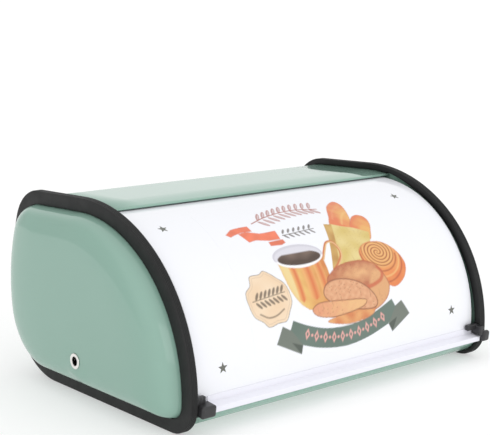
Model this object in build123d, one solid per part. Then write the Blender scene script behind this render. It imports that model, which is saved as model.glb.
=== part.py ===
from build123d import *
import os
from math import cos, radians, sin

# Bread box with a roll top.  X runs along the width, the lid is at the front (-Y), Z is up.
# The end outline is a chain of tangent arcs.  Headings are the direction of travel along it in
# degrees: 180 runs forward along the table, 90 up the front, 0 back over the top, -90 down the back.

# ---- end outline, measured on the outer edge of the black edge trim
foot_y = -99.0            # where the flat underside ends at the front
foot_r = 22.6             # front bottom corner
front_r = 121.8           # big curve in front of the lid
brow_r = 136.9            # flatter curve from the lid to the top plate
top_length = 60.5         # flat top plate
shoulder_r = 37.1         # rear top corner
back_r = 151.0            # slightly bowed back
front_start, brow_start, top_slope, back_start, heel_start = 93.2, 35.7, -1.8, -69.0, -97.5

# ---- widths along X, from the middle outward
trim_in, trim_out = 149.5, 156.0
groove_in, groove_out = 152.45, 154.25
frame_in, frame_out = 152.5, 153.3
cap_flange_in, cap_flange_out = 153.4, 154.2
dome_x = 175.0            # outer face of the domed end cap
sheet = 0.8               # steel sheet of the box
trim_lap_out, trim_lap_in, trim_cover = 11.0, 6.5, 1.9
dome_lap, dome_round = 11.3, 10.8

# ---- shell sheet inside the trim
shell_inset, shell_drop = 4.5, 1.0
lip_y, lip_z = -12.0, 143.4      # folded front edge of the top plate
strip_top_z = 13.0               # folded front edge of the floor
vent_z, vent_pitch, vent_count, vent_w, vent_h = 37.0, 7.4, 9, 4.6, 3.0
vent_group_x = 73.0

# ---- lid, turning about the pivot line
pivot_y, pivot_z = -6.2, 34.3
lid_r, lid_sheet_t = 108.6, 0.7
lid_half_width = 146.5
lid_top_angle, lid_bottom_angle = 88.5, 190.2    # seen from the pivot, 90 is straight up
arm_x = 144.0                    # inner face of the flat part of each side arm
arm_t = 0.8
arm_bend_r, hub_bend_r, hub_r = 80.0, 36.0, 12.0
hub_x = 171.6                    # inner face of the arm at the pivot
rivet_r, rivet_bore_r, rivet_head_r, hole_play = 4.25, 3.5, 6.0, 0.05
play = 0.3                       # side play at the pivot
rail_start, rail_end, ledge_r, saddle_out = 136.4, 149.0, 117.0, 157.0
saddle_r_in, saddle_r_out = 116.5, 121.0

shift_y = 4.9                    # puts the middle of the whole part over the origin


def side(heading):
    """Unit vector from an arc's centre to the point where it runs at this heading."""
    return Vector(-sin(radians(heading)), cos(radians(heading)))


def outline_arcs():
    """Tangent arcs round the end as (centre, radius, first heading, last heading)."""
    foot = Vector(foot_y, foot_r)
    front = foot + side(front_start) * (foot_r - front_r)
    brow = front + side(brow_start) * (front_r - brow_r)
    along = Vector(cos(radians(top_slope)), sin(radians(top_slope)))
    shoulder = brow + side(top_slope) * (brow_r - shoulder_r) + along * top_length
    back = shoulder + side(back_start) * (shoulder_r - back_r)
    heel_point = back + side(heel_start) * back_r
    heel_r = heel_point.Y / (1 + cos(radians(heel_start)))
    heel = heel_point - side(heel_start) * heel_r
    return [(foot, foot_r, 180, front_start), (front, front_r, front_start, brow_start),
            (brow, brow_r, brow_start, top_slope), (shoulder, shoulder_r, top_slope, back_start),
            (back, back_r, back_start, heel_start), (heel, heel_r, heel_start, -180)]


def outline(inset):
    """Face of the end outline, moved inward by inset all round."""
    edges, last, first = [], None, None
    for centre, r, h0, h1 in outline_arcs():
        a, m, b = (centre + side(h) * (r - inset) for h in (h0, (h0 + h1) / 2, h1))
        if last is not None and (a - last).length > 0.001:
            edges.append(Line(last, a))
        edges.append(ThreePointArc(a, m, b))
        first = first or a
        last = b
    edges.append(Line(last, first))
    return make_face(edges)


def slab(face, x0, x1):
    """Extrude a face drawn in Y and Z from x0 to x1."""
    return extrude(Plane.YZ.offset(x0) * face, x1 - x0)


def ring(inset0, inset1, x0, x1):
    return slab(outline(inset0) - outline(inset1), x0, x1)


def turned(face, angle0, angle1):
    """Turn a face drawn in X and radius about the pivot line, from one angle to the other."""
    a = radians(angle0)
    start = Plane(origin=(0, pivot_y, pivot_z), x_dir=(1, 0, 0), z_dir=(0, -sin(a), cos(a)))
    return revolve(start * face, Axis((0, pivot_y, pivot_z), (1, 0, 0)), angle1 - angle0)


def strip(x0, x1, r0, r1, angle0, angle1):
    """Curved bar about the pivot line."""
    face = Pos((x0 + x1) / 2, (r0 + r1) / 2) * Rectangle(x1 - x0, r1 - r0)
    return turned(face, angle0, angle1)


def disc(r, x0, x1, bore=0.0):
    """Round plate or tube on the pivot line."""
    face = Circle(r) - Circle(bore) if bore else Circle(r)
    return slab(Pos(pivot_y, pivot_z) * face, x0, x1)


def box(x0, x1, y0, y1, z0, z1):
    return Pos((x0 + x1) / 2, (y0 + y1) / 2, (z0 + z1) / 2) * Box(x1 - x0, y1 - y0, z1 - z0)


# ---- shell: one sheet bent from the front strip through floor and back to the top lip
front_gap = make_face(Polyline((lip_y, 220), (lip_y, 90), (-50, 60), (-50, strip_top_z),
                               (-220, strip_top_z), (-220, 220), close=True))
shell_outer = Pos(0, -shell_drop) * outline(shell_inset)
shell_inner = Pos(0, -shell_drop) * outline(shell_inset + sheet)
body_shell = slab(shell_outer - shell_inner - front_gap, -frame_in, frame_in)
shell_lap = slab(shell_outer - front_gap, 0, groove_in)
lip = box(-trim_in + 1, trim_in - 1, lip_y, lip_y + sheet, lip_z, lip_z + 2)
strip_fold = box(-trim_in + 1, trim_in - 1, -114.0, -109.5, strip_top_z - sheet, strip_top_z)
body_shell += lip + strip_fold
vents = [Pos(s * vent_group_x + (i - (vent_count - 1) / 2) * vent_pitch, 100, vent_z)
         * Box(vent_w, 60, vent_h) for s in (-1, 1) for i in range(vent_count)]
body_shell -= vents

# ---- right end: flat frame ring, domed cap, black trim gripping both edges
side_frame = ring(2.0, 15.0, frame_in, frame_out)

dome = slab(outline(dome_lap), cap_flange_out - sheet, dome_x)
dome = fillet(dome.faces().sort_by(Axis.X)[-1].edges(), dome_round)
hollow = slab(outline(dome_lap + sheet), cap_flange_in - 1, dome_x - sheet)
hollow = fillet(hollow.faces().sort_by(Axis.X)[-1].edges(), dome_round - sheet)
end_cap = ring(2.0, dome_lap + sheet, cap_flange_in, cap_flange_out) + (dome - hollow)
end_cap -= disc(rivet_r, dome_x - 5, dome_x + 5)

trim = ring(0, trim_cover, trim_in, trim_out)
rim = trim.edges().filter_by_position(Axis.X, trim_in, trim_out)
trim += ring(0, trim_lap_out, groove_out, trim_out) + ring(0, trim_lap_in, trim_in, groove_in)
edge_trim = trim - shell_lap

# ---- right pivot: hollow rivet fixed in the cap, washers either side of the turning arm
washer_in, washer_out = hub_x - play, hub_x + arm_t + play
eyelet = disc(rivet_r, washer_in - 1.6, dome_x + 0.4, rivet_bore_r)
eyelet += disc(rivet_head_r, dome_x, dome_x + 0.8, rivet_bore_r)
eyelet += disc(rivet_head_r, washer_in - 1.6, washer_in - 0.8, rivet_bore_r)
outer_washer = disc(9.0, washer_out, dome_x - sheet, rivet_r)
inner_washer = disc(8.0, washer_in - 0.8, washer_in, rivet_r)

# ---- right lid arm: fan that steps outward into the dome, with a flange under the lid sheet
r_under = lid_r - lid_sheet_t
arm_line = Polyline((arm_x - 8, r_under), (arm_x + arm_t, r_under), (arm_x + arm_t, arm_bend_r),
                    (hub_x + arm_t, hub_bend_r), (hub_x + arm_t, 6), (hub_x, 6),
                    (hub_x, hub_bend_r - 0.5), (arm_x, arm_bend_r - 0.5),
                    (arm_x, r_under - arm_t), (arm_x - 8, r_under - arm_t), close=True)
lid_arm = turned(make_face(arm_line), lid_top_angle + 6.5, lid_bottom_angle - 1.5)
lid_arm += disc(hub_r, hub_x, hub_x + arm_t)
lid_arm -= disc(rivet_r + hole_play, hub_x - 5, hub_x + 5)

# ---- handle ends: plastic pieces that close off the rail
def grip(x0, r1, angle0, angle1):
    """Bar from x0 out to the trim's inner side, standing on the rail's leaf."""
    return strip(x0, trim_in - 0.5, lid_r + sheet, r1, angle0, angle1)


# the right one reaches over the trim and has a finger pointing inward
saddle = strip(trim_in - 0.5, saddle_out, saddle_r_in, saddle_r_out, 184.5, 188.9)
saddle = fillet(saddle.edges().filter_by_position(Axis.X, saddle_out - 0.1, saddle_out + 0.1), 1.6)
right_handle_end = saddle + grip(trim_in - 4, saddle_r_out - 1.5, 182.4, 186.4)
right_handle_end += grip(137.0, lid_r + 5.0, 181.9, 184.4)

# the left one is a block beside the trim with a small tab on top
block = grip(rail_start, saddle_r_out - 0.5, 185.4, 189.6)
block = fillet(block.edges().filter_by_position(Axis.X, trim_in - 0.6, trim_in - 0.4), 1.2)
block += grip(141.0, lid_r + 5.4, 182.0, 185.6)
left_handle_end = mirror(block, Plane.YZ)

# ---- lid across the width
lid_sheet = strip(-lid_half_width, lid_half_width, r_under, lid_r, lid_top_angle,
                  lid_bottom_angle)
bar_x = arm_x - 9
rear_bar = strip(-bar_x, bar_x, r_under - sheet, r_under, lid_top_angle, 95)
rear_bar += strip(-bar_x, bar_x, r_under - 9.0, r_under - 0.4, lid_top_angle, 88.95)
rear_bar += strip(-bar_x, bar_x, r_under - 9.0, r_under - 8.2, lid_top_angle, 92.0)
rail_leaf = strip(-rail_start, rail_end, lid_r, lid_r + sheet, 184.0, 188.9)
rail_shelf = strip(-rail_start, rail_end, lid_r + 0.4, ledge_r, 186.8, 187.2)
rail_lip = strip(-rail_start, rail_end, ledge_r - sheet, ledge_r, 186.8, 189.1)
rail = rail_leaf + rail_shelf + rail_lip


def pair(name, right):
    return {"right_" + name: right, "left_" + name: mirror(right, Plane.YZ)}


nodes = {"body_shell": body_shell, "lid_sheet": lid_sheet, "lid_rear_bar": rear_bar,
         "lid_handle_rail": rail, "right_handle_end": right_handle_end,
         "left_handle_end": left_handle_end}
for name, right in (("end_cap", end_cap), ("edge_trim", edge_trim), ("side_frame", side_frame),
                    ("pivot_eyelet", eyelet), ("outer_washer", outer_washer),
                    ("inner_washer", inner_washer), ("lid_arm", lid_arm)):
    nodes.update(pair(name, right))

os.makedirs("parts", exist_ok=True)
for name, solid in nodes.items():
    export_step(Pos(0, shift_y, 0) * solid, f"parts/{name}.step")
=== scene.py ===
import bmesh
import bpy
import math
import numpy as np
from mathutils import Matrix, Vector


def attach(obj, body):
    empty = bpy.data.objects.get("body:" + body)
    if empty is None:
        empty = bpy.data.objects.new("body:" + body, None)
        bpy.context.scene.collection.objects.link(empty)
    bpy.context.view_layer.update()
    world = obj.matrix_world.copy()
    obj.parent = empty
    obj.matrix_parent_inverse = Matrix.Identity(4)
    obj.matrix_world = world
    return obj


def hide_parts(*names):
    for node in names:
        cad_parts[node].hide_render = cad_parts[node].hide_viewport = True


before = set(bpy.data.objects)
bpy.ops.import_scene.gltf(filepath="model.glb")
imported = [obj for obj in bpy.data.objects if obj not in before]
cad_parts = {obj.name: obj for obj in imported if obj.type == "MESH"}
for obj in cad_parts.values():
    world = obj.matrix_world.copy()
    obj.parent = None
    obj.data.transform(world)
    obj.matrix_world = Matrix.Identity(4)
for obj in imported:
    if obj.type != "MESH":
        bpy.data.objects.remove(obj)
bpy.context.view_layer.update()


# ---- Edge trims
# A black vinyl U-section is pushed over the joined rims of each end cap and the box, all the way
# round. Its underside is what the box stands on. The outer rim is ribbed by the extruder's die.

MM = 0.001
SHIFT_Y = 4.9
FOOT, FRONT, BROW, SHOULDER, BACK, HEEL = range(6)


def end_arcs():
    """Tangent arcs of the end outline as rows of centre Y, centre Z, radius, first and last heading.

    A point of an arc at heading h is its centre plus its radius times (-sin h, cos h). The next
    centre lies on the line from the shared point back through the last centre, so the two arcs
    meet without a corner.
    """
    def side(h):
        """Unit vector from an arc's centre to its point at heading h."""
        return np.array([-math.sin(math.radians(h)), math.cos(math.radians(h))])

    headings = [180, 93.2, 35.7, -1.8, -69.0, -97.5, -180]
    radii = [22.6, 121.8, 136.9, 37.1, 151.0]
    top_length = 60.5
    centres = [np.array([-99.0 + SHIFT_Y, radii[0]])]
    for i in range(1, 5):
        step = side(headings[i]) * (radii[i - 1] - radii[i])
        if i == SHOULDER:
            tilt = math.radians(headings[i])
            step = step + top_length * np.array([math.cos(tilt), math.sin(tilt)])
        centres.append(centres[-1] + step)
    heel_start = centres[4] + side(headings[5]) * radii[4]
    radii.append(heel_start[1] / (1 + math.cos(math.radians(headings[5]))))
    centres.append(heel_start - side(headings[5]) * radii[5])
    return np.array([[*c, r, a, b] for c, r, a, b in zip(centres, radii, headings, headings[1:])])


ARCS = end_arcs()


def arc(which, inset, count, first=None, last=None, drop=0.0):
    """Points and outward normals along one arc of the outline, moved inward by inset."""
    cy, cz, r, h0, h1 = ARCS[which]
    h = np.radians(np.linspace(h0 if first is None else first, h1 if last is None else last, count))
    normal = np.stack([-np.sin(h), np.cos(h)], 1)
    return np.array([cy, cz - drop]) + normal * (r - inset), normal


def between(a, b, count):
    """Evenly spaced points of the straight from the end of run a to the start of run b."""
    t = np.linspace(0, 1, count + 2)[1:-1, None]
    points = a[0][-1] * (1 - t) + b[0][0] * t
    return points, np.repeat(a[1][-1:], count, 0)


def end_outline(inset=0.0):
    """Closed end outline moved inward by inset: the arcs in turn, the top and the underside straight."""
    counts = (26, 90, 70, 40, 36, 56)
    runs = [arc(i, inset, n) for i, n in enumerate(counts)]
    top = between(runs[BROW], runs[SHOULDER], 24)
    under = between(runs[HEEL], runs[FOOT], 60)
    order = [runs[FOOT], runs[FRONT], runs[BROW], top, runs[SHOULDER], runs[BACK], runs[HEEL], under]
    points = np.concatenate([r[0] for r in order])
    normals = np.concatenate([r[1] for r in order])
    keep = np.linalg.norm(points - np.roll(points, 1, 0), axis=1) > 1e-4
    return points[keep], normals[keep]


def rounded(corners, radius, steps=3):
    """Closed polygon with each corner replaced by a short quadratic curve of the given reach."""
    p = np.asarray(corners, float)
    before, after = np.roll(p, 1, 0) - p, np.roll(p, -1, 0) - p
    length_b = np.linalg.norm(before, axis=1, keepdims=True)
    length_a = np.linalg.norm(after, axis=1, keepdims=True)
    a = p + before / length_b * np.minimum(radius, length_b * 0.45)
    b = p + after / length_a * np.minimum(radius, length_a * 0.45)
    t = np.linspace(0, 1, steps + 1)[None, :, None]
    curve = (1 - t) ** 2 * a[:, None] + 2 * t * (1 - t) * p[:, None] + t ** 2 * b[:, None]
    return curve.reshape(-1, 2)


def grid_faces(rows, cols, wrap_rows=False, wrap_cols=False):
    """Quads between neighbouring points of a grid, with either direction closed on itself."""
    r = np.arange(rows if wrap_rows else rows - 1)[:, None]
    c = np.arange(cols if wrap_cols else cols - 1)[None, :]
    r1, c1 = (r + 1) % rows, (c + 1) % cols
    quads = np.stack([r * cols + c, r * cols + c1, r1 * cols + c1, r1 * cols + c], -1)
    return quads.reshape(-1, 4)


def piece(name, points, faces, smooth_angle=35.0, closed=True):
    """Mesh object from points in millimetres; doubles are merged and, if closed, faces turned out."""
    mesh = bpy.data.meshes.new(name)
    mesh.from_pydata((np.asarray(points).reshape(-1, 3) * MM).tolist(), [],
                     faces.tolist() if isinstance(faces, np.ndarray) else faces)
    work = bmesh.new()
    work.from_mesh(mesh)
    bmesh.ops.remove_doubles(work, verts=work.verts, dist=2e-6)
    bmesh.ops.dissolve_degenerate(work, edges=work.edges, dist=1e-6)
    if closed:
        bmesh.ops.recalc_face_normals(work, faces=work.faces)
    work.to_mesh(mesh)
    work.free()
    obj = bpy.data.objects.new(name, mesh)
    bpy.context.scene.collection.objects.link(obj)
    mesh.shade_smooth()
    mesh.set_sharp_from_angle(angle=math.radians(smooth_angle))
    return obj


def material(name, colour, roughness, metallic=0.0, gloss=0.5):
    """Node material with its plain values set on the shader."""
    mat = bpy.data.materials.new(name)
    mat.use_nodes = True
    shader = mat.node_tree.nodes["Principled BSDF"]
    shader.inputs["Base Color"].default_value = (*colour, 1)
    shader.inputs["Roughness"].default_value = roughness
    shader.inputs["Metallic"].default_value = metallic
    shader.inputs["Specular IOR Level"].default_value = gloss
    return mat


def noise(mat, scale, stretch=(1, 1, 1), detail=3.0):
    """Noise texture on Object coordinates, stretched along the axes."""
    nodes, links = mat.node_tree.nodes, mat.node_tree.links
    where = nodes.new("ShaderNodeTexCoord")
    mapping = nodes.new("ShaderNodeMapping")
    mapping.inputs["Scale"].default_value = stretch
    texture = nodes.new("ShaderNodeTexNoise")
    texture.inputs["Scale"].default_value = scale
    texture.inputs["Detail"].default_value = detail
    links.new(where.outputs["Object"], mapping.inputs["Vector"])
    links.new(mapping.outputs["Vector"], texture.inputs["Vector"])
    return texture


def vary(mat, texture, socket, low, high):
    """Spreads a texture over a range of a shader socket: two grey levels or two colours."""
    nodes, links = mat.node_tree.nodes, mat.node_tree.links
    ramp = nodes.new("ShaderNodeValToRGB")
    ramp.color_ramp.elements[0].position, ramp.color_ramp.elements[1].position = 0.3, 0.7
    for element, value in zip(ramp.color_ramp.elements, (low, high)):
        element.color = (*value, 1) if np.ndim(value) else (value, value, value, 1)
    links.new(texture.outputs["Fac"], ramp.inputs["Fac"])
    links.new(ramp.outputs["Color"], nodes["Principled BSDF"].inputs[socket])


def bump(mat, texture, height, strength=0.3):
    """Fine relief from a texture; height in metres."""
    nodes, links = mat.node_tree.nodes, mat.node_tree.links
    node = nodes.new("ShaderNodeBump")
    node.inputs["Distance"].default_value = height
    node.inputs["Strength"].default_value = strength
    links.new(texture.outputs["Fac"], node.inputs["Height"])
    links.new(node.outputs["Normal"], nodes["Principled BSDF"].inputs["Normal"])


def show(obj, mat, body, slot, *nodes):
    """Gives a piece its material and body, and says which CAD nodes it stands for. The slot is not used."""
    obj.data.materials.append(mat)
    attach(obj, body)
    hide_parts(*nodes)


TRIM_IN, TRIM_OUT = 149.5, 156.0
GROOVE_IN, GROOVE_OUT = 152.45, 154.25
LAP_OUT, LAP_IN, COVER = 11.0, 6.5, 1.9
RIBS, RIB_DEPTH = 4, 0.32
LIP_Y, STRIP_TOP = -12.0 + SHIFT_Y, 13.0
SHELL_INSET, SHELL_DROP = 4.5, 1.0


def carried(name, sign, width, inset):
    """Closed section carried round the end outline.

    Each section point has a width X. Its inset from the outline may differ from place to place.
    """
    points, normals = end_outline()
    inset = np.broadcast_to(inset, (len(points), len(width)))
    yz = points[:, None, :] - normals[:, None, :] * inset[:, :, None]
    x = np.broadcast_to(sign * width, inset.shape)
    grid = np.concatenate([x[..., None], yz], -1)
    return piece(name, grid, grid_faces(*grid.shape[:2], True, True))


def trim_mesh(name, sign):
    """U-section with ribs on its rim, a cosine across the width.

    The inner leg reaches down to the steel sheet where the sheet is. Beside the lid it is as long
    as its lap, less next to the top plate.
    """
    rim_x = np.linspace(TRIM_IN + 0.9, TRIM_OUT - 0.9, 22)
    turns = (rim_x - rim_x[0]) / (rim_x[-1] - rim_x[0]) * RIBS
    rim = np.stack([rim_x, RIB_DEPTH / 2 * (1 - np.cos(turns * 2 * math.pi))], 1)
    legs = rounded([(TRIM_OUT, 0.0), (TRIM_OUT, LAP_OUT), (GROOVE_OUT, LAP_OUT), (GROOVE_OUT, COVER),
                    (GROOVE_IN, COVER), (GROOVE_IN, LAP_IN), (TRIM_IN, LAP_IN), (TRIM_IN, 0.0)], 0.8)
    section = np.concatenate([rim, legs[2:-2]])
    points, normals = end_outline()
    over_lid = (points[:, 0] < LIP_Y) & (points[:, 1] > STRIP_TOP)
    bare = 2.2 * np.clip(1 + (points[:, 0] - LIP_Y) / 34, 0, 1)
    reach = np.where(over_lid, LAP_IN - bare, SHELL_INSET + SHELL_DROP * normals[:, 1] - 0.05)
    inner_leg = (section[:, 0] < 153.3) & (section[:, 1] > 3.0)
    return carried(name, sign, section[:, 0], section[:, 1] + inner_leg * (reach[:, None] - LAP_IN))


trim_black = material("trim_vinyl", (0.018, 0.0185, 0.0185), 0.5, gloss=0.25)
vary(trim_black, noise(trim_black, 90), "Roughness", 0.42, 0.56)
bump(trim_black, noise(trim_black, 1400, detail=2.0), 0.0001, 0.25)
for hand, sign in (("left", -1), ("right", 1)):
    show(trim_mesh(f"{hand}_trim", sign), trim_black, "box", "trim_black", f"{hand}_edge_trim")


# ---- End caps
# Each cap is pressed from one steel blank into a pillow, then sprayed sage green and baked. Its flat
# rim sits in the trim's groove, and the sheet is flattened round the hole for the pivot rivet.

CAP_RIM_X, DOME_LAP, DOME_HEIGHT, SHEET = 154.2, 11.3, 21.0, 0.8
PIVOT = np.array([-6.2 + SHIFT_Y, 34.3])
CAP_FACE_X = 175.0
CAP_MIDDLE = np.array([2.0, 75.0])
RIM_INSET, RIVET_R = 2.0, 4.25
LEVEL_R, LEVEL_FADE = 7.0, 12.0


def dome_height(yz):
    """Height of the pillow over its rim: H times (1 - g^8)^0.5.

    g is how far the point lies from the middle of the cap towards its edge, 0 to 1, so each level
    line is the outline drawn smaller. Near the pivot the height runs level over a few millimetres.
    """
    edge = end_outline(DOME_LAP)[0] - CAP_MIDDLE
    angle = np.arctan2(edge[:, 1], edge[:, 0])
    order = np.argsort(angle)
    away = yz - CAP_MIDDLE
    reach = np.interp(np.arctan2(away[..., 1], away[..., 0]), angle[order],
                      np.linalg.norm(edge, axis=1)[order], period=2 * math.pi)
    g = np.clip(np.linalg.norm(away, axis=-1) / reach, 0, 1)
    pillow = DOME_HEIGHT * np.sqrt(1 - g ** 8)
    level = CAP_FACE_X - CAP_RIM_X
    t = np.clip((np.linalg.norm(yz - PIVOT, axis=-1) - LEVEL_R) / LEVEL_FADE, 0, 1)
    t = t * t * (3 - 2 * t)
    return level + (pillow - level) * t


def cap_mesh(name, sign):
    """Grid between a circle round the rivet hole and the outline, then the flat rim outside it."""
    edge = end_outline(DOME_LAP)[0]
    toward = edge - PIVOT
    circle = PIVOT + toward / np.linalg.norm(toward, axis=1, keepdims=True) * RIVET_R
    t = np.sin(np.linspace(0, 1, 60) * math.pi / 2)[:, None, None]
    yz = circle * (1 - t) + edge * t
    x = CAP_RIM_X + dome_height(yz)
    x[-1] = CAP_RIM_X + 0.4
    rim = np.stack([end_outline(DOME_LAP - 0.5)[0], end_outline(RIM_INSET)[0]])
    yz = np.concatenate([yz, rim])
    x = np.concatenate([x, np.full(rim.shape[:2], CAP_RIM_X)])
    grid = np.concatenate([sign * x[..., None], yz], -1)
    faces = grid_faces(*grid.shape[:2], False, True)
    return piece(name, grid, faces if sign > 0 else faces[:, ::-1], closed=False)


def thicken(obj, thickness):
    """Gives an open sheet its wall, inward from the face that points out."""
    wall = obj.modifiers.new("wall", "SOLIDIFY")
    wall.thickness = thickness * MM
    wall.offset = -1
    wall.use_even_offset = True


def enamel(name, colour, deep):
    """Baked gloss paint: its colour varies slightly and it has a faint orange peel."""
    mat = material(name, colour, 0.1)
    vary(mat, noise(mat, 9, detail=2.0), "Base Color", deep, colour)
    bump(mat, noise(mat, 420, detail=1.0), 0.00006, 0.12)
    return mat


cap_green = enamel("cap_enamel", (0.272, 0.440, 0.366), (0.262, 0.428, 0.354))
for hand, sign in (("left", -1), ("right", 1)):
    cap = cap_mesh(f"{hand}_cap", sign)
    thicken(cap, SHEET)
    show(cap, cap_green, "box", "cap_green", f"{hand}_end_cap")


# ---- Side frames
# A flat steel ring stands inside each cap's rim. The box sheet is spot-welded to it and the trim
# grips its edge; its inner face shows beside the lid, where it lies in shade. Its green is the caps'
# paint made a little darker as painted shade.

FRAME_IN, FRAME_OUT, FRAME_DEPTH = 152.5, 153.3, 15.0


def ring_mesh(name, sign):
    """Rectangular section with broken edges carried round the outline."""
    section = rounded([(FRAME_IN, RIM_INSET), (FRAME_OUT, RIM_INSET), (FRAME_OUT, FRAME_DEPTH),
                       (FRAME_IN, FRAME_DEPTH)], 0.2, 2)
    return carried(name, sign, section[:, 0], section[:, 1])


# Painted shade: the ring's green is a little darker than the caps' paint, for the gap beside the lid.
frame_green_shaded = enamel("frame_enamel_shaded", (0.262, 0.428, 0.352), (0.252, 0.415, 0.340))
for hand, sign in (("left", -1), ("right", 1)):
    ring = ring_mesh(f"{hand}_frame_ring", sign)
    show(ring, frame_green_shaded, "box", "frame_green", f"{hand}_side_frame")


# ---- Body shell
# One steel sheet is bent into the front strip, the floor, the back, the rounded rear corner and the
# top plate. Both front edges are folded, and the back has two rows of punched vent slots.

VENT_Z, VENT_PITCH, VENT_COUNT, VENT_GROUP_X = 37.0, 7.4, 9, 73.0
VENT_HALF_W, VENT_HALF_H = 2.3, 1.65
SHELL_HALF, LIP_Z = FRAME_IN, 143.9


def fold(corner, start, end, radius, count=6):
    """Quarter-like bend at a corner between two directions, as points of a quadratic curve."""
    corner, start, end = (np.asarray(v, float) for v in (corner, start, end))
    a = corner + (start - corner) / np.linalg.norm(start - corner) * radius
    b = corner + (end - corner) / np.linalg.norm(end - corner) * radius
    t = np.linspace(0, 1, count)[:, None]
    return (1 - t) ** 2 * a + 2 * t * (1 - t) * corner + t ** 2 * b


def shell_path():
    """Bent line of the sheet's outer face, from the top lip back, down and forward to the strip.

    Returns the points and the place along the line where the row of vents lies.
    """
    inset, drop = SHELL_INSET, SHELL_DROP
    cy, cz, r = ARCS[BROW][:3]
    lip_heading = math.degrees(math.asin((cy - LIP_Y) / (r - inset)))
    cz_foot, r_foot = ARCS[FOOT][1:3]
    strip_heading = math.degrees(math.acos((STRIP_TOP - cz_foot + drop) / (r_foot - inset)))
    cz_heel, r_heel = ARCS[HEEL][1:3]
    vent_heading = -math.degrees(math.acos((VENT_Z - cz_heel + drop) / (r_heel - inset)))
    half = math.degrees(VENT_HALF_H / (r_heel - inset))
    brow = arc(BROW, inset, 14, first=lip_heading, drop=drop)
    shoulder = arc(SHOULDER, inset, 34, drop=drop)
    back = arc(BACK, inset, 24, drop=drop)
    above = arc(HEEL, inset, 10, last=vent_heading + 3 * half, drop=drop)
    vents = arc(HEEL, inset, 25, vent_heading + 3 * half, vent_heading - 3 * half, drop=drop)
    below = arc(HEEL, inset, 34, first=vent_heading - 3 * half, drop=drop)
    foot = arc(FOOT, inset, 20, last=strip_heading, drop=drop)
    top = between(brow, shoulder, 16)
    under = between(below, foot, 30)
    lip = fold(brow[0][0], (LIP_Y, LIP_Z), brow[0][1], 1.1)
    lip = np.concatenate([[(LIP_Y, LIP_Z)], lip])
    strip = fold(foot[0][-1], foot[0][-2], foot[0][-1] + (6, 0), 1.0)
    strip = np.concatenate([strip, [foot[0][-1] + (5.4, 0)]])
    parts = [lip, brow[0][1:], top[0], shoulder[0], back[0][1:], above[0][1:], vents[0][1:],
             below[0][1:], under[0], foot[0][:-1], strip]
    path = np.concatenate(parts)
    first_vent = sum(len(p) for p in parts[:6])
    return path, first_vent + 11


def shell_mesh(name):
    """The path carried across the width, with cells left out for the vents.

    Points near a slot are drawn from its square block of cells onto a rounded slot: inside the
    block by the ratio of the square norm to the fourth-power norm, fading out over the next cells.
    """
    path, vent_row = shell_path()
    along = np.concatenate([[0], np.cumsum(np.linalg.norm(np.diff(path, axis=0), axis=1))])
    centres = [side * VENT_GROUP_X + (i - (VENT_COUNT - 1) / 2) * VENT_PITCH
               for side in (-1, 1) for i in range(VENT_COUNT)]
    cuts = np.concatenate([c + VENT_HALF_W * np.linspace(-1, 1, 5) for c in centres]
                          + [[c + VENT_PITCH / 2, c - VENT_PITCH / 2] for c in centres]
                          + [np.linspace(-SHELL_HALF, SHELL_HALF, 9), [-30, 30, 112, -112]])
    x = np.unique(np.round(cuts, 4))
    u, v = np.meshgrid(x, along)
    slots = np.array(centres)
    nearest = slots[np.abs(x[:, None] - slots[None, :]).argmin(1)]
    du = (u - nearest[None, :]) / VENT_HALF_W
    dv = (v - along[vent_row]) / VENT_HALF_H
    square = np.maximum(np.maximum(np.abs(du), np.abs(dv)), 1e-9)
    round_norm = np.maximum((np.abs(du) ** 3 + np.abs(dv) ** 3) ** (1 / 3), 1e-9)
    fade = np.clip((1.55 - square) / 0.55, 0, 1)
    scale = 1 + (square / round_norm - 1) * fade
    u = nearest[None, :] + du * VENT_HALF_W * scale
    v = along[vent_row] + dv * VENT_HALF_H * scale
    y, z = np.interp(v, along, path[:, 0]), np.interp(v, along, path[:, 1])
    grid = np.stack([u, y, z], -1)
    faces = grid_faces(*grid.shape[:2])
    mid_x = (x[:-1] + x[1:]) / 2
    mid_v = (along[:-1] + along[1:]) / 2
    in_slot = (np.abs(mid_x[:, None] - slots[None, :]) < VENT_HALF_W).any(1)
    in_row = np.abs(mid_v - along[vent_row]) < VENT_HALF_H
    open_cell = (in_row[:, None] & in_slot[None, :]).reshape(-1)
    return piece(name, grid, faces[~open_cell], closed=False)


# Painted light: the whole sheet's green is the caps' paint made a little lighter, as the top plate takes more
# light from above.
shell_green = enamel("shell_enamel_lit", (0.285, 0.455, 0.378), (0.275, 0.442, 0.366))
shell = shell_mesh("shell_sheet")
thicken(shell, SHEET)
show(shell, shell_green, "box", "shell_green", "body_shell")


# ---- Pivot rivets and washers
# A hollow chromed rivet is rolled over outside each cap and flared inside. Nylon washers sit on it
# either side of the lid arm.

def turned_mesh(name, sign, profile, count=48):
    """Closed profile of X and radius turned about the pivot line."""
    a = np.linspace(0, 2 * math.pi, count, endpoint=False)[:, None]
    x, r = profile[None, :, 0], profile[None, :, 1]
    grid = np.stack([sign * x + 0 * a, PIVOT[0] + r * np.cos(a), PIVOT[1] + r * np.sin(a)], -1)
    return piece(name, grid, grid_faces(*grid.shape[:2], True, True), smooth_angle=60)


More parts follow.
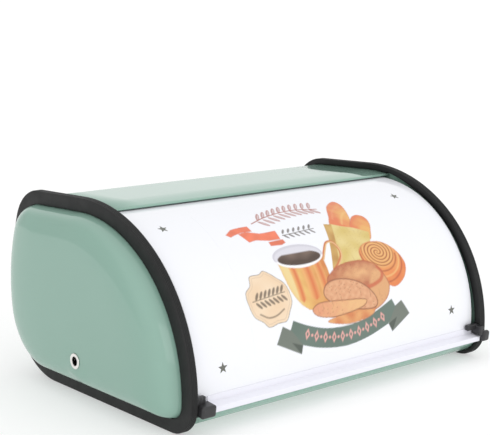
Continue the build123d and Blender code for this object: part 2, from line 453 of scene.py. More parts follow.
chrome = material("rivet_chrome", (0.82, 0.80, 0.77), 0.12, metallic=1.0)
vary(chrome, noise(chrome, 300), "Roughness", 0.08, 0.2)
nylon = material("washer_nylon", (0.78, 0.77, 0.73), 0.5)
vary(nylon, noise(nylon, 200), "Roughness", 0.42, 0.58)
BARREL_IN, BORE_R, HEAD_R, HEAD_T = 169.7, 3.5, 6.0, 0.8
for hand, sign in (("left", -1), ("right", 1)):
    profile = rounded([(BARREL_IN, BORE_R), (CAP_FACE_X + HEAD_T, BORE_R), (CAP_FACE_X + HEAD_T, HEAD_R),
                       (CAP_FACE_X, HEAD_R), (CAP_FACE_X, RIVET_R), (BARREL_IN + HEAD_T, RIVET_R),
                       (BARREL_IN + HEAD_T, HEAD_R), (BARREL_IN, HEAD_R)], 0.45, 4)
    rivet = turned_mesh(f"{hand}_rivet", sign, profile)
    show(rivet, chrome, "box", "eyelet_chrome", f"{hand}_pivot_eyelet")
    for which in ("inner", "outer"):
        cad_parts[f"{hand}_{which}_washer"].data.materials.clear()
        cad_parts[f"{hand}_{which}_washer"].data.materials.append(nylon)


# ---- Lid sheet
# The roll top is a white enamelled steel sheet curved about the pivot line. It slides back under
# the top plate when the handle rail is lifted.

LID_R, LID_T, LID_HALF = 108.6, 0.7, 146.5
LID_TOP, LID_BOTTOM = 88.5, 190.2


def on_lid(x, angle, radius):
    """Places at width x, angle in degrees about the pivot (90 straight up) and radius."""
    a = np.radians(angle)
    x, y, z = np.broadcast_arrays(x, PIVOT[0] + radius * np.cos(a), PIVOT[1] + radius * np.sin(a))
    return np.stack([x, y, z], -1)


def lid_mesh(name):
    """Cylinder about the pivot line, with its two side edges eased inward."""
    angle = np.linspace(LID_TOP, LID_BOTTOM, 205)[:, None]
    step, fall = np.array([0.0, 0.2, 0.7]), np.array([0.5, 0.2, 0.05])
    flat = np.linspace(1.5 - LID_HALF, LID_HALF - 1.5, 25)
    x = np.concatenate([step - LID_HALF, flat, (LID_HALF - step)[::-1]])
    ease = np.concatenate([fall, np.zeros(25), fall[::-1]])
    grid = on_lid(x[None, :], angle, LID_R - ease[None, :])
    return piece(name, grid, grid_faces(*grid.shape[:2])[:, ::-1], closed=False)


WHITE, WHITE_DEEP = (0.885, 0.895, 0.935), (0.875, 0.885, 0.927)
lid_white = enamel("lid_enamel", WHITE, WHITE_DEEP)
lid = lid_mesh("lid_curve")
thicken(lid, LID_T)
show(lid, lid_white, "lid", "lid_white", "lid_sheet")


# ---- Lid artwork
# A mug, a sack of baguettes, a roll, a loaf, a badge and ribbons are screened on the white lid, with
# a star near each corner. They are painted here on a thin film over the front of the sheet.

FILM_X0, FILM_X1, FILM_S0, FILM_S1, FILM_STEP = -92.0, 80.0, 21.0, 156.0, 0.7
FILM_LIFT, FILM_SINK = 0.05, -0.1


class Film:
    """Colours on a grid over the lid: x across, s up the curve from the lid's lower edge, in mm."""

    def __init__(self):
        """Starts as the bare lid colour everywhere."""
        nx = int(round((FILM_X1 - FILM_X0) / FILM_STEP)) + 1
        ns = int(round((FILM_S1 - FILM_S0) / FILM_STEP)) + 1
        across, along = np.linspace(FILM_X0, FILM_X1, nx), np.linspace(FILM_S0, FILM_S1, ns)
        self.x, self.s = np.meshgrid(across, along)
        self.rgb = np.ones(self.x.shape + (3,)) * np.array(WHITE)
        self.ink = np.zeros(self.x.shape)

    def paint(self, distance, colour, soft=0.35, opacity=1.0):
        """Lays ink where distance is negative, fading over a soft edge. Colour may be a grid."""
        cover = np.clip(0.5 - distance / (2 * soft), 0, 1) * opacity
        colour = np.broadcast_to(np.asarray(colour, float), self.rgb.shape)
        self.rgb = self.rgb * (1 - cover[..., None]) + colour * cover[..., None]
        self.ink = np.maximum(self.ink, cover)

    def turned(self, x, s, degrees):
        """Coordinates about a point, turned so that the first runs in the given direction."""
        c, d = math.cos(math.radians(degrees)), math.sin(math.radians(degrees))
        dx, ds = self.x - x, self.s - s
        return dx * c + ds * d, -dx * d + ds * c

    def ellipse(self, x, s, a, b, degrees=0):
        """Signed distance, nearly, to an ellipse of half axes a and b."""
        u, v = self.turned(x, s, degrees)
        k = np.hypot(u / a, v / b)
        return (k - 1) * k / np.maximum(np.hypot(u / a ** 2, v / b ** 2), 1e-6)

    def polygon(self, corners):
        """Signed distance to a polygon, negative inside by the even-odd rule."""
        p = np.asarray(corners, float)
        away, inside = np.full(self.x.shape, 1e9), np.zeros(self.x.shape, bool)
        for a, b in zip(p, np.roll(p, -1, 0)):
            away = np.minimum(away, self.segment(a, b))
            rises = (a[1] > self.s) != (b[1] > self.s)
            crossing = (b[0] - a[0]) * (self.s - a[1]) / ((b[1] - a[1]) or 1e-9) + a[0]
            inside ^= rises & (self.x < crossing)
        return np.where(inside, -away, away)

    def segment(self, a, b):
        """Distance to the straight from a to b."""
        d = np.subtract(b, a).astype(float)
        t = np.clip(((self.x - a[0]) * d[0] + (self.s - a[1]) * d[1]) / max(d @ d, 1e-9), 0, 1)
        return np.hypot(self.x - a[0] - t * d[0], self.s - a[1] - t * d[1])

    def curve(self, points):
        """Distance to a polyline."""
        return np.minimum.reduce([self.segment(a, b) for a, b in zip(points[:-1], points[1:])])

    def stroke(self, points, half, colour, soft=0.35, opacity=1.0):
        """A line of the given half width along a polyline."""
        self.paint(self.curve(points) - half, colour, soft, opacity)

    def outline(self, shape, colour, width):
        """A line along the edge of a shape."""
        self.paint(np.abs(shape) - width / 2, colour)


def bend(points, steps=10):
    """Catmull-Rom curve through points."""
    p = np.asarray(points, float)
    p = np.concatenate([2 * p[:1] - p[1:2], p, 2 * p[-1:] - p[-2:-1]])
    t = np.linspace(0, 1, steps, endpoint=False)[:, None]
    a, b, c, d = (p[i:len(p) - 3 + i, None, :] for i in range(4))
    run = 0.5 * (2 * b + (c - a) * t + (2 * a - 5 * b + 4 * c - d) * t ** 2
                 + (3 * b - a - 3 * c + d) * t ** 3)
    return np.concatenate([run.reshape(-1, 2), p[-2:-1]])


def closed_bend(points, steps=10):
    """Smooth closed curve through points."""
    p = np.asarray(points, float)
    n = len(p)
    return bend(np.concatenate([p, p, p]), steps)[n * steps:2 * n * steps]


def shade(low, high, amount):
    """Mix of two colours over a grid of amounts from 0 to 1."""
    t = np.clip(amount, 0, 1)[..., None]
    return np.asarray(low) * (1 - t) + np.asarray(high) * t


def ripple(film, scale):
    """Soft mottling from crossed sines, 0 to 1."""
    u, v = film.x / scale, film.s / scale
    return 0.5 + 0.25 * (np.sin(u * 2.1 + 1.7 * np.sin(v * 1.3)) + np.sin(v * 2.7 + 1.9 * np.sin(u * 1.1)))


film = Film()

CORAL, PINK = (0.83, 0.20, 0.105), (0.80, 0.40, 0.36)
GREY_GREEN, ROSE, UMBER = (0.120, 0.172, 0.142), (0.40, 0.125, 0.095), (0.085, 0.062, 0.045)

# Cream badge with a scalloped edge
badge = closed_bend([(-65, 91.5), (-71, 89.5), (-80, 89), (-83, 82), (-89, 77), (-89.5, 68), (-87, 59),
                     (-80, 54), (-75, 49.5), (-66, 51), (-58, 51.5), (-53, 58), (-48.5, 66), (-50, 78),
                     (-56, 84.5)], 8)
shape = film.polygon(badge)
film.paint(shape, shade((0.83, 0.62, 0.42), (0.87, 0.69, 0.50), ripple(film, 9)))
film.outline(shape, (0.26, 0.24, 0.21), 0.7)
film.outline(shape + 2.2, (0.66, 0.50, 0.36), 0.4)
film.stroke(bend([(-81, 60), (-74, 56.5), (-66, 57), (-58, 60.5)]), 0.6, UMBER, opacity=0.7)
film.paint(film.segment((-85, 70), (-53, 73)) - 0.35, UMBER, opacity=0.8)
for x in np.linspace(-82, -57, 7):
    film.paint(film.ellipse(x + 2, 74.5 + (x + 70) * 0.1, 3.4, 1.15, 55), UMBER, opacity=0.8)
    film.paint(film.ellipse(x + 2, 67.5 + (x + 70) * 0.1, 3.4, 1.15, -45), UMBER, opacity=0.8)

# Long ribbon banner along the bottom, its two tails folded behind
for tail, fold_corner in (([(-71, 36), (-47, 24.5), (-45, 32), (-52, 47), (-56, 44.5), (-63, 48.5)],
                           [(-56, 35), (-45, 31), (-47, 24.5)]),
                          ([(71, 36.5), (50, 25), (46, 32), (53, 47), (55.5, 45), (63.5, 48.5)],
                           [(56, 36), (46, 32), (50, 25)])):
    shape = film.polygon(tail)
    film.paint(shape, (0.165, 0.190, 0.160))
    film.paint(np.maximum(shape, film.polygon(fold_corner)), (0.080, 0.098, 0.080))
lower = bend([(-45, 31), (-30, 26.5), (-12, 23.5), (5, 23), (25, 26), (46, 32)])
upper = bend([(-52, 51), (-38, 45), (-20, 40), (0, 38.5), (18, 40), (36, 45), (53, 51)])
shape = film.polygon(np.concatenate([lower, [(53, 41), (56, 44.5)], upper[::-1], [(-56, 44.5), (-52, 40)]]))
film.paint(shape, shade(GREY_GREEN, (0.150, 0.205, 0.172), ripple(film, 14)))
for i, x in enumerate(np.linspace(-40, 40, 19)):
    s = 31 + 0.0048 * x * x
    if i % 2:
        film.paint(film.ellipse(x, s, 1.1, 1.1), PINK)
        continue
    u, v = film.turned(x, s, 0.55 * x)
    film.paint(np.abs(u) * 1.9 + np.abs(v) - 4.4, PINK, 0.6)
    film.paint(np.abs(u) * 1.9 + np.abs(v) - 2.0, GREY_GREEN, 0.6)

# Sack of baguettes: two loaves, then the paper over them
for outline, lean in (([(24, 120), (29, 131), (36, 142), (44, 147.5), (50, 148.5), (52.5, 143), (51, 134),
                        (46, 120), (42, 112)], (46, 130)),
                      ([(42, 116), (46, 122), (52, 127), (59, 127.8), (64, 124), (64, 117), (60, 110),
                        (54, 102), (46, 106)], (57, 112))):
    shape = film.polygon(closed_bend(outline))
    away = np.hypot(film.x - lean[0], (film.s - lean[1]) * 0.75)
    crust = away / 13 + 0.3 * (ripple(film, 3.5) - 0.5)
    film.paint(shape, shade((0.80, 0.46, 0.14), (0.74, 0.205, 0.085), crust))
    film.outline(shape, (0.62, 0.20, 0.09), 0.6)
film.stroke(bend([(31, 128), (37, 136), (44, 140), (49, 141)]), 0.5, (0.82, 0.36, 0.17), 1.2, 0.7)
film.stroke(bend([(36, 121), (41, 128), (46, 132), (50, 133)]), 0.5, (0.84, 0.54, 0.20), 1.2, 0.8)
paper = [(17.5, 124), (25, 122.5), (33, 119), (44, 115.5), (57, 109), (53, 100), (44, 90), (36, 82), (0, 80),
         (5, 92), (12, 108)]
shape = film.polygon(paper)
film.paint(shape, shade((0.66, 0.50, 0.155), (0.76, 0.62, 0.27), ripple(film, 7)))
side = film.polygon([(17.5, 124), (25, 122.5), (16, 101), (9, 84), (0, 80), (5, 92), (12, 108)])
film.paint(side, shade((0.50, 0.27, 0.075), (0.64, 0.42, 0.135), ripple(film, 6)))

# Mug: bowl with tall golden panels, pale rim, coffee and a looped handle
handle = bend([(-3.5, 93), (1, 99), (7, 105.5), (13, 106), (16.5, 100), (15.5, 93), (10, 87), (2, 81.5)])
hole = film.polygon(np.concatenate([handle, [(-3, 82)]]))
left_of_paper = film.polygon([(-6, 79), (-3.5, 93), (1, 99), (7, 104), (4, 92), (0, 80)])
film.paint(np.maximum(hole, left_of_paper), WHITE)
film.stroke(handle, 1.3, (0.60, 0.19, 0.07))
film.stroke(handle + (0.5, -0.7), 0.5, (0.82, 0.58, 0.28), 0.5)
bowl = np.concatenate([bend([(-49, 98), (-48.5, 84), (-46.5, 72), (-41, 62), (-34, 56)]),
                       bend([(-20, 53), (-8, 62), (-4.5, 76), (-3.5, 98)])])
shape = film.polygon(bowl)
across = (film.x + 27) / 22
glaze = 0.35 + 0.5 * across + 0.25 * (ripple(film, 5) - 0.5)
film.paint(shape, shade((0.80, 0.52, 0.17), (0.62, 0.20, 0.06), glaze))
film.paint(np.maximum(shape, film.ellipse(-46, 76, 8, 26)), (0.82, 0.66, 0.33), 3, 0.85)
for x, width in ((-37.5, 3.2), (-24.5, 5.0), (-12.5, 4.2)):
    u = (film.x - x) / width
    ends = np.maximum(film.s - 91 - u ** 2, 62 + 2.5 * np.abs(u) - film.s)
    panel = np.maximum(np.abs(film.x - x) - width, ends)
    amber = shade((0.68, 0.185, 0.065), (0.80, 0.42, 0.15), np.abs(u - 0.2))
    film.paint(np.maximum(shape, panel), amber, 0.7)
film.outline(shape, (0.66, 0.34, 0.10), 0.5)
rim_outside = film.ellipse(-26.5, 99, 24.8, 10.3, -1)
film.paint(rim_outside, (0.62, 0.61, 0.67))
film.paint(film.ellipse(-26.5, 98.4, 23.2, 8.6, -1), (0.70, 0.69, 0.75))
under_rim = np.maximum(rim_outside, -film.ellipse(-26.5, 99.6, 23.2, 8.6, -1))
film.paint(np.maximum(under_rim, film.s - 96.5), (0.93, 0.92, 0.93), 0.4)
coffee = np.maximum(film.ellipse(-26, 97, 21.5, 6.0, -1), film.s - 101.5)
sheen = (film.s - 97) / 6 * 0.6 + 0.6 * ripple(film, 6)
film.paint(coffee, shade((0.075, 0.045, 0.032), (0.19, 0.13, 0.10), sheen))

# Cinnamon roll with its spiral
shape = film.polygon(closed_bend([(35, 92), (41, 97.5), (50, 99.8), (62, 98.5), (72, 91.5), (78, 81),
                                  (77.5, 72), (70, 63.5), (58, 60), (46, 70), (36, 82)]))
u, v = film.turned(54, 90, -12)
distance = np.hypot(u, v * 1.25)
turn = (distance - 0.85 * np.arctan2(v, u) * 3.2 / math.pi * 1.2) / 3.25
wave = 0.5 + 0.5 * np.cos(2 * math.pi * turn)
baked = np.clip((distance - 8) / 22, 0, 1) * 0.8 + 0.3 * (ripple(film, 5) - 0.2)
film.paint(shape, shade((0.82, 0.42, 0.14), (0.74, 0.20, 0.065), baked))
swirl = shade((0.82, 0.46, 0.17), (0.36, 0.085, 0.03), wave ** 2.0)
film.paint(np.maximum(shape, distance - 16.5), swirl, 1.0, 0.95)
for reach, colour in ((18.5, (0.40, 0.09, 0.035)), (21.5, (0.84, 0.52, 0.20)), (24.5, (0.44, 0.10, 0.04))):
    ring = np.abs(np.hypot(u + (reach - 17) * 0.15, (v + (reach - 17) * 0.75) * 1.2) - reach) - 0.7
    film.paint(np.maximum(ring, np.maximum(shape, v + 0.2 * u - 4)), colour, 0.6, 0.8)
film.outline(shape, (0.66, 0.22, 0.09), 0.6)

# Round loaf with a band of crumb, cut slices leaning on it
loaf = film.polygon(closed_bend([(-3, 80), (8, 84.5), (22, 86.3), (36, 85), (46, 80), (52, 70), (54, 61),
                                 (48, 52), (36, 46), (16, 42), (0, 44), (-10, 60), (-9, 74)]))
sheen = np.hypot((film.x - 27) / 22, (film.s - 76) / 6.5)
crust = sheen * 0.75 - 0.05 + 0.3 * (ripple(film, 3) - 0.5)
film.paint(loaf, shade((0.76, 0.42, 0.20), (0.50, 0.175, 0.085), crust))
film.paint(np.maximum(loaf, film.ellipse(44, 60, 12, 17, -20)), (0.76, 0.43, 0.20), 1.5, 0.8)
seam = bend([(47, 78), (50, 73), (47, 68), (39, 65), (30, 63.5)])
film.stroke(seam, 1.5, (0.58, 0.15, 0.07), 0.6, 0.9)
film.outline(loaf, (0.44, 0.11, 0.045), 0.6)
heel = film.polygon(closed_bend([(-18, 44), (0, 39.5), (18, 39.8), (31, 43), (33, 48), (20, 50), (-6, 47)]))
film.paint(heel, shade((0.76, 0.38, 0.15), (0.64, 0.22, 0.085), ripple(film, 5)))
film.outline(heel, (0.50, 0.20, 0.10), 0.5)
slice_1 = film.polygon(closed_bend([(-16, 65), (-11, 72), (0, 74.5), (14, 72.5), (26, 67), (35, 58), (37, 50),
                                    (30, 47), (10, 50), (-10, 58)]))
film.paint(slice_1, shade((0.76, 0.42, 0.235), (0.66, 0.31, 0.165), ripple(film, 2.2) * 0.8))
film.outline(slice_1, (0.30, 0.12, 0.06), 0.9)
slice_2 = film.polygon(closed_bend([(-31, 55), (-24, 59), (-12, 59), (4, 57.5), (20, 56), (26, 54), (21, 50),
                                    (4, 47.5), (-14, 47), (-27, 50)]))
crumb = (film.x + 30) / -40 + 0.9 + 0.3 * ripple(film, 3)
film.paint(slice_2, shade((0.80, 0.47, 0.22), (0.74, 0.33, 0.185), crumb))
film.outline(slice_2, (0.36, 0.15, 0.07), 0.8)

# Flecks of flour and crust over everything baked
fleck = np.sin(film.x * 5.1 + 3 * np.sin(film.s * 2.3)) * np.sin(film.s * 4.7 + 3 * np.sin(film.x * 1.9))
for region, strength in ((np.minimum(slice_1, slice_2), 0.4), (np.minimum(loaf, heel), 0.3),
                         (film.polygon(paper), 0.22)):
    film.paint(np.maximum(region + 0.8, (0.86 - fleck) * 3), (0.34, 0.13, 0.055), 0.5, strength)

# Coral ribbon in three folds, beside the mug
for outline, dark in (([(-79, 128), (-71, 133), (-62, 134), (-54, 134), (-53.5, 127.8), (-64, 128),
                        (-71, 126.6), (-76, 125)], 0.95),
                      ([(-46, 115), (-31, 115.5), (-30.5, 112), (-35, 110.5), (-46, 111)], 0.85),
                      ([(-67.5, 127), (-60, 128.5), (-48, 124.5), (-32.5, 125), (-33, 116), (-44, 116),
                        (-56, 118.5), (-63, 117.5)], 1.0)):
    shape = film.polygon(outline)
    film.paint(shape, np.array(CORAL) * dark * (0.93 + 0.14 * ripple(film, 4)[..., None]))
    film.outline(shape, (0.58, 0.12, 0.06), 0.35)

# Wheat ear in rose ink over the mug, and a small dark sprig beside it
stem = bend([(-48, 136), (-32, 141), (-12, 144.5), (6, 145), (25, 142)])
film.stroke(stem, 0.65, ROSE)
for t in np.linspace(0, 1, 10):
    x, s = -40 + 58 * t, 138.5 + 6.8 * math.sin(t * 2.2)
    for way in (-1, 1):
        film.paint(film.ellipse(x + 3.2, s + way * 4.4, 5.4, 1.75, 8 + way * 46), ROSE, opacity=0.9)
        film.paint(film.ellipse(x + 3.6, s + way * 4.4, 3.4, 0.45, 8 + way * 46), WHITE, opacity=0.55)
for t in np.linspace(0, 1, 6):
    x, s = -26 + 28 * t, 119.5 + 1.2 * t
    film.paint(film.ellipse(x, s + 3.2, 3.1, 1.15, 48), UMBER, opacity=0.9)
    film.paint(film.ellipse(x, s - 2.2, 3.1, 1.15, -40), UMBER, opacity=0.9)
film.paint(film.segment((-29, 119), (5, 121.2)) - 0.5, UMBER)


def film_mesh(name):
    """The painted grid laid just proud of the lid, closed by a second face below and a rim."""
    angle = LID_BOTTOM - np.degrees(film.s / LID_R)
    top, under = (on_lid(film.x, angle, LID_R + h) for h in (FILM_LIFT, FILM_SINK))
    rows, cols = film.x.shape
    faces = grid_faces(rows, cols)
    ring = np.concatenate([np.arange(cols), np.arange(1, rows) * cols + cols - 1,
                           (rows - 1) * cols + np.arange(cols - 2, -1, -1),
                           np.arange(rows - 2, 0, -1) * cols])
    after = np.roll(ring, -1)
    rim = np.stack([ring, after, after + rows * cols, ring + rows * cols], 1)
    faces = np.concatenate([faces, faces[:, ::-1] + rows * cols, rim[:, ::-1]])
    mesh = bpy.data.meshes.new(name)
    points = np.concatenate([top.reshape(-1, 3), under.reshape(-1, 3)]) * MM
    mesh.from_pydata(points.tolist(), [], faces.tolist())
    painted = np.concatenate([np.clip(film.rgb, 0, 1), film.ink[..., None]], -1).reshape(-1, 4)
    colour = np.concatenate([painted, painted])
    attribute = mesh.color_attributes.new("print", "FLOAT_COLOR", "POINT")
    attribute.data.foreach_set("color", colour.astype(np.float32).ravel())
    obj = bpy.data.objects.new(name, mesh)
    bpy.context.scene.collection.objects.link(obj)
    mesh.shade_smooth()
    mesh.set_sharp_from_angle(angle=math.radians(35))
    return obj


printed = enamel("lid_print", WHITE, WHITE_DEEP)
nodes, links = printed.node_tree.nodes, printed.node_tree.links
ink = nodes.new("ShaderNodeAttribute")
ink.attribute_name = "print"
mix = nodes.new("ShaderNodeMix")
mix.data_type = "RGBA"
ramp = nodes["Color Ramp"]
links.new(ramp.outputs["Color"], mix.inputs["A"])
links.new(ink.outputs["Color"], mix.inputs["B"])
links.new(ink.outputs["Alpha"], mix.inputs["Factor"])
links.new(mix.outputs["Result"], nodes["Principled BSDF"].inputs["Base Color"])
picture = film_mesh("lid_picture")
show(picture, printed, "lid", "lid_white", "lid_sheet")


def star_mesh(name, x0, s0, reach=4.4):
    """Star patch on the lid: its edge runs straight between five far and five near corners in turn."""
    a = np.arange(10) * math.pi / 5 + math.pi / 2
    r = np.where(np.arange(10) % 2, 0.42, 1.0) * reach
    corners = np.stack([r * np.cos(a), r * np.sin(a)], -1)
    t = np.linspace(0, 1, 5)[:-1, None, None]
    edge = (corners * (1 - t) + np.roll(corners, -1, 0) * t).transpose(1, 0, 2).reshape(-1, 2)
    rings = np.array([[0.02, FILM_LIFT], [0.5, FILM_LIFT], [0.98, FILM_LIFT],
                      [1.0, FILM_SINK], [0.5, FILM_SINK], [0.02, FILM_SINK]])
    x = x0 + rings[:, 0, None] * edge[:, 0]
    angle = LID_BOTTOM - np.degrees((s0 + rings[:, 0, None] * edge[:, 1]) / LID_R)
    grid = on_lid(x, angle, LID_R + rings[:, 1, None])
    return piece(name, grid, grid_faces(*grid.shape[:2], True, True))


star_ink = enamel("star_print", (0.150, 0.155, 0.135), (0.13, 0.135, 0.117))
for i, (x0, s0) in enumerate([(-125, 145.5), (-122, 29), (117.5, 144), (121, 30.7)]):
    show(star_mesh(f"lid_star_{i + 1}", x0, s0), star_ink, "lid", "lid_white", "lid_sheet")


# ---- Handle rail
# A folded strip of the same white steel is spot-welded along the lid's lower edge. It steps out to
# a rolled lip that the fingers lift.

RAIL_X0, RAIL_X1 = -136.4, 149.0


def capped(name, grid, smooth_angle=35.0):
    """Closed sections in rows along X, joined row to row, with a flat end on the first and last."""
    rows, cols = grid.shape[:2]
    faces = grid_faces(rows, cols, False, True).tolist()
    faces += [list(range(cols)), list(range((rows - 1) * cols, rows * cols))]
    return piece(name, grid, faces, smooth_angle)


def rail_mesh(name):
    """Section given as radius and length down the curve, carried straight along X and capped."""
    corners = [(109.4, 7.6), (109.4, 12.4), (117.0, 13.2), (117.0, 17.2), (113.0, 17.4), (113.0, 16.6),
               (116.2, 16.4), (116.2, 14.0), (109.6, 13.3), (108.65, 12.8), (108.65, 7.6)]
    section = rounded(corners, 0.45, 3)
    x = np.linspace(RAIL_X0, RAIL_X1, 40)[:, None]
    angle = 180 + np.degrees(section[None, :, 1] / LID_R)
    return capped(name, on_lid(x, angle, section[None, :, 0]))


# Painted shade: the rail's white is the lid's white made a little darker and more lilac, for the band along
# the lid's lower edge that faces down into shade.
rail_white = enamel("rail_enamel_shaded", (0.86, 0.86, 0.93), (0.84, 0.84, 0.91))
show(rail_mesh("handle_rail"), rail_white, "lid", "rail_white", "lid_handle_rail")


# ---- Rear bar
# A bare zinc-plated channel stiffens the lid's rear edge between the arms.

def bar_mesh(name):
    """Z-like section of radius and angle about the pivot, carried along X and capped."""
    section = np.array([(107.85, 88.6), (107.85, 95.0), (107.1, 95.0), (107.1, 88.98), (99.7, 88.98),
                        (99.7, 92.0), (98.9, 92.0), (98.9, 88.5), (107.4, 88.5)])
    x = np.linspace(-135, 135, 28)[:, None]
    return capped(name, on_lid(x, section[None, :, 1], section[None, :, 0]), smooth_angle=20)


zinc = material("bar_zinc", (0.62, 0.64, 0.66), 0.34, metallic=1.0)
streaks = noise(zinc, 60, stretch=(0.2, 8, 8))
vary(zinc, streaks, "Roughness", 0.26, 0.42)
bump(zinc, streaks, 0.00005, 0.2)
show(bar_mesh("rear_bar"), zinc, "lid", "bar_metal", "lid_rear_bar")


# ---- Lid arms
# Each arm is a fan pressed from sheet: a flange welded under the lid, a flat web, then a slope out
# to the hub on the rivet. Shallow ribs are pressed in the web against flexing.

HUB_X, HUB_BEND_R, HUB_R, HUB_BORE = 172.4, 36.0, 12.0, 4.3
FAN_START, FAN_END = math.radians(95), math.radians(188.7)


def arm_mesh(name, sign):
    """A fan of revolution joined to a flat hub plate with a round hole for the rivet.

    The fan is a profile of X and radius swept about the pivot. The hub plate reaches from the hole
    to the bend radius under the fan; beyond it the edge runs straight to the hub's own circle, so
    its radius there is the hub radius over cos(angle from the point of tangency).
    """
    web = [(144.8, r) for r in (*range(106, 84, -3), 82.4)]
    profile = np.array([(136.0, 107.9), (140, 107.9), (143.2, 107.9), (144.2, 107.6), (144.7, 107.0), *web,
                        (145.2, 80.4), (146.4, 77.6), (151, 70), (157, 60.4), (163, 51), (168, 43),
                        (170.6, 38.9), (171.6, 37.2), (172.2, 36.3), (HUB_X, HUB_BEND_R)])
    lean = math.acos(HUB_R / HUB_BEND_R)
    fan = np.linspace(FAN_START, FAN_END, 95)
    a, r = fan[None, :], profile[:, 1, None]
    part = (a - FAN_START) / (FAN_END - FAN_START)
    clear_of_ends = (a > FAN_START + .2) & (a < FAN_END - .2)
    rib = np.exp(-(np.sin(part * 3 * math.pi) ** 2) * 40) * clear_of_ends
    press = rib * np.clip((r - 84) / 4, 0, 1) * np.clip((103 - r) / 3, 0, 1)
    x = profile[:, 0, None] - 1.1 * press
    outer = np.stack([sign * x, PIVOT[0] + r * np.cos(a) + 0 * x, PIVOT[1] + r * np.sin(a) + 0 * x], -1)
    rest = np.linspace(FAN_END, FAN_START + 2 * math.pi, 82)[1:-1]
    a = np.concatenate([fan, rest])
    past = np.maximum(FAN_END + lean - a, a - (FAN_START + 2 * math.pi - lean))
    edge = np.where(a <= FAN_END, HUB_BEND_R, HUB_R / np.cos(np.clip(past, 0, lean)))
    t = np.linspace(0, 1, 12)[:, None]
    r = edge * (1 - t) + HUB_BORE * t
    hub = np.stack([np.full(r.shape, sign * HUB_X), PIVOT[0] + r * np.cos(a), PIVOT[1] + r * np.sin(a)], -1)
    faces = np.concatenate([grid_faces(*outer.shape[:2]),
                            grid_faces(*hub.shape[:2], False, True) + outer.shape[0] * outer.shape[1]])
    points = np.concatenate([outer.reshape(-1, 3), hub.reshape(-1, 3)])
    return piece(name, points, faces if sign > 0 else faces[:, ::-1], closed=False)


# Painted shade: the arms carry the box's green paint made far darker, for their place in shade inside the
# box.
arm_green = enamel("arm_enamel_shaded", (0.095, 0.175, 0.145), (0.088, 0.165, 0.136))
for hand, sign in (("left", -1), ("right", 1)):
    arm = arm_mesh(f"{hand}_arm", sign)
    thicken(arm, SHEET)
    show(arm, arm_green, "lid", "arm_green", f"{hand}_lid_arm")


# ---- Handle ends
# Moulded black plastic pieces close the two ends of the rail and clip over its lip. The left one is a
# block with a ribbed tab on top. The right one reaches over the trim and points a finger inward.

GROOVE_DEPTH = 0.35


def block_mesh(name, x0, x1, r0, r1, a0, a1, ease, grooves):
    """Rounded block between two widths, radii and angles about the pivot.

    Each point of a cube's surface grid is drawn to a rounded cube: its inner core point plus the
    ease times the unit direction. Grooves are cosines along X on the outer face.
    """
    n = 26
    u = np.linspace(-1, 1, n)
    a, b = np.meshgrid(u, u)
    c = np.ones_like(a)
    cube = np.concatenate([np.stack(f, -1).reshape(-1, 3) for f in
                           ((a, b, c), (b, a, -c), (c, a, b), (-c, b, a), (b, c, a), (a, -c, b))])
    faces = np.concatenate([grid_faces(n, n) + k * n * n for k in range(6)])
    mid_r, mid_a = (r0 + r1) / 2, (a0 + a1) / 2
    half = np.array([(x1 - x0) / 2, (r1 - r0) / 2, math.radians(a1 - a0) / 2 * mid_r])
    reach = min(ease, 0.95 * half.min())
    p = cube * half
    core = np.clip(p, -(half - reach), half - reach)
    away = p - core
    length = np.maximum(np.linalg.norm(away, axis=1, keepdims=True), 1e-9)
    p = core + away / length * np.minimum(length, reach)
    if grooves:
        wave = 0.5 - 0.5 * np.cos(p[:, 0] / half[0] * math.pi * grooves)
        p[:, 1] -= np.where(p[:, 1] > 0, GROOVE_DEPTH, 0) * wave
    grid = on_lid((x0 + x1) / 2 + p[:, 0], mid_a + np.degrees(p[:, 2] / mid_r), mid_r + p[:, 1])
    return piece(name, grid, faces, smooth_angle=50)


end_black = material("end_plastic", (0.026, 0.026, 0.028), 0.38)
vary(end_black, noise(end_black, 120), "Roughness", 0.32, 0.46)
bump(end_black, noise(end_black, 900, detail=2.0), 0.00008, 0.2)
for name, node, values, ease, grooves in (
        ("left_end_grip", "left_handle_end", (-149.0, -136.4, 109.5, 120.5, 185.4, 189.6), 1.7, 0),
        ("left_end_tab", "left_handle_end", (-149.0, -141.0, 109.5, 114.0, 182.8, 186.2), 0.9, 3),
        ("right_end_block", "right_handle_end", (149.1, 157.0, 116.6, 121.0, 184.5, 188.9), 2.1, 0),
        ("right_end_post", "right_handle_end", (145.5, 150.6, 109.5, 119.5, 182.4, 186.4), 1.3, 0),
        ("right_end_tab", "right_handle_end", (137.0, 149.0, 109.5, 113.6, 181.9, 184.4), 1.1, 0)):
    show(block_mesh(name, *values, ease, grooves), end_black, "lid", "end_black", node)


# ---- Floor, light and camera
# A plain pale floor runs on to a plain bright surround, which dims behind the left shoulder of the
# box so that its glossy cap shows a horizon.

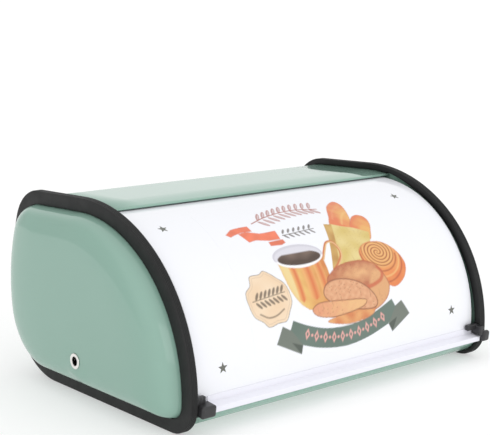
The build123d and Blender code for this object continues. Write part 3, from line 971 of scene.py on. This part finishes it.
bpy.ops.mesh.primitive_plane_add(size=12, location=(0, 0, -0.0002))
floor = bpy.context.object
floor.name = "floor"
floor_white = material("floor_white", (0.62, 0.62, 0.62), 0.8, gloss=0.1)
floor_white.node_tree.nodes["Principled BSDF"].inputs["Emission Color"].default_value = (1, 1, 1, 1)
floor_white.node_tree.nodes["Principled BSDF"].inputs["Emission Strength"].default_value = 0.42
floor.data.materials.append(floor_white)

world = bpy.data.worlds.new("surround")
bpy.context.scene.world = world
world.use_nodes = True
world.node_tree.nodes["Background"].inputs["Color"].default_value = (1, 1, 1, 1)
nodes, links = world.node_tree.nodes, world.node_tree.links
where = nodes.new("ShaderNodeTexCoord")
toward = nodes.new("ShaderNodeVectorMath")
fall = nodes.new("ShaderNodeMapRange")
toward.operation = "DOT_PRODUCT"
toward.inputs[1].default_value = (-0.62, 0.74, 0.26)
fall.interpolation_type = "SMOOTHSTEP"
for socket, value in (("From Min", 0.62), ("From Max", 0.92), ("To Min", 1.03), ("To Max", 0.6)):
    fall.inputs[socket].default_value = value
links.new(where.outputs["Generated"], toward.inputs[0])
links.new(toward.outputs["Value"], fall.inputs["Value"])
links.new(fall.outputs["Result"], nodes["Background"].inputs["Strength"])


def panel_light(name, place, toward, size, power):
    """Rectangular area light at a place, facing a point."""
    data = bpy.data.lights.new(name, "AREA")
    data.shape = "RECTANGLE"
    data.size, data.size_y = size
    data.energy = power
    lamp = bpy.data.objects.new(name, data)
    bpy.context.scene.collection.objects.link(lamp)
    lamp.location = place
    lamp.rotation_euler = (Vector(place) - Vector(toward)).to_track_quat("Z", "Y").to_euler()


panel_light("front", (-0.5, -2.3, 0.9), (0, 0, 0.07), (1.6, 1.2), 6)

camera = bpy.data.cameras.new("camera")
camera.lens, camera.sensor_width, camera.sensor_fit = 90.5, 36.0, "HORIZONTAL"
camera.clip_start, camera.clip_end = 0.05, 30
viewer = bpy.data.objects.new("camera", camera)
bpy.context.scene.collection.objects.link(viewer)
viewer.location = (-0.64535, -0.75467, 0.29787)
viewer.rotation_euler = (math.radians(79.966), 0, math.radians(-40.114))
bpy.context.scene.camera = viewer
bpy.context.scene.view_settings.view_transform = "Standard"
